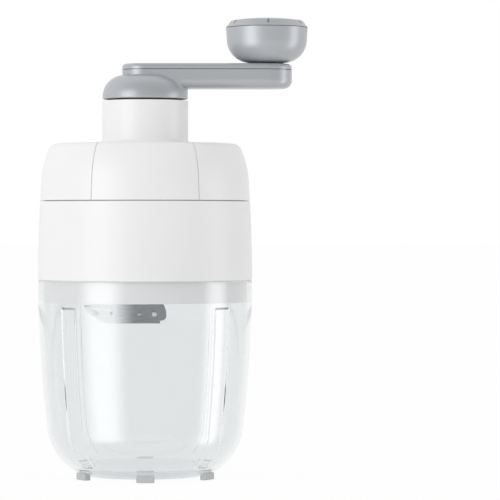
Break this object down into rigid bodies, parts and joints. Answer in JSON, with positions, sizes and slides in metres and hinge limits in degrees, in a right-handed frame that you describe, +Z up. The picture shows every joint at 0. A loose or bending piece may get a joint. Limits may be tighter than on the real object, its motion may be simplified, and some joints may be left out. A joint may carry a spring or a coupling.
{
  "type": "hand-cranked ice shaver",
  "caption": "Upright hand ice shaver: clear cup with rubber feet, white chamber and cap, crank arm with a turning knob, spiked press and blade.",
  "frame": {"origin": "on the spindle axis, at the table plane under the feet", "axes": "+Z up the spindle axis, +X along the crank arm towards the knob, -Y towards the front"},
  "size_m": [0.1495, 0.1186, 0.2546],
  "materials": {
    "clear_plastic": "clear, polished",
    "white_plastic": "satin white",
    "grey_plastic": "satin cool grey",
    "bearing_plastic": "black acetal",
    "grey_rubber": "soft matt",
    "blade_steel": "ground stainless sheet",
    "bright_steel": "bright",
    "spring_steel": "drawn wire"
  },
  "bodies": {
    "cup": {"clear_cup": "clear_plastic", "rubber_feet": "grey_rubber"},
    "housing": {"housing_shell": "white_plastic", "ice_chamber": "white_plastic", "blade": "blade_steel", "blade_holder": "white_plastic", "holder_screws": "bright_steel"},
    "cap": {"top_cap": "white_plastic", "neck_bush": "bearing_plastic"},
    "crank": {"crank_arm": "grey_plastic", "arm_cover": "grey_plastic", "spindle": "bearing_plastic", "spindle_guide": "bearing_plastic", "crank_washer": "bright_steel", "crank_screw": "bright_steel", "knob_axle": "bright_steel", "knob_washer": "bright_steel", "press_spring": "spring_steel"},
    "knob": {"knob_body": "grey_plastic", "knob_cap": "grey_plastic", "knob_bush": "bearing_plastic"},
    "press": {"press_disc": "white_plastic", "spike_plate": "blade_steel", "press_screws": "bright_steel", "press_shaft": "bright_steel"}
  },
  "joints": [
    {"name": "housing_lift", "type": "slide", "parent": "cup", "child": "housing", "axis": [0, 0, 1], "range_m": [0, 0.04]},
    {"name": "cap_lift", "type": "slide", "parent": "housing", "child": "cap", "axis": [0, 0, 1], "range_m": [0, 0.065]},
    {"name": "crank_turn", "type": "hinge", "parent": "cap", "child": "crank", "pos_m": [0, 0, 0.2094], "axis": [0, 0, 1], "continuous": true},
    {"name": "knob_turn", "type": "hinge", "parent": "crank", "child": "knob", "pos_m": [0.0675, 0, 0.2298], "axis": [0, 0, 1], "continuous": true},
    {"name": "press_slide", "type": "slide", "parent": "crank", "child": "press", "axis": [0, 0, 1], "range_m": [0, 0.044], "stiffness_N_per_m": 250, "springref_m": -0.03, "deforming": ["press_spring"]}
  ]
}
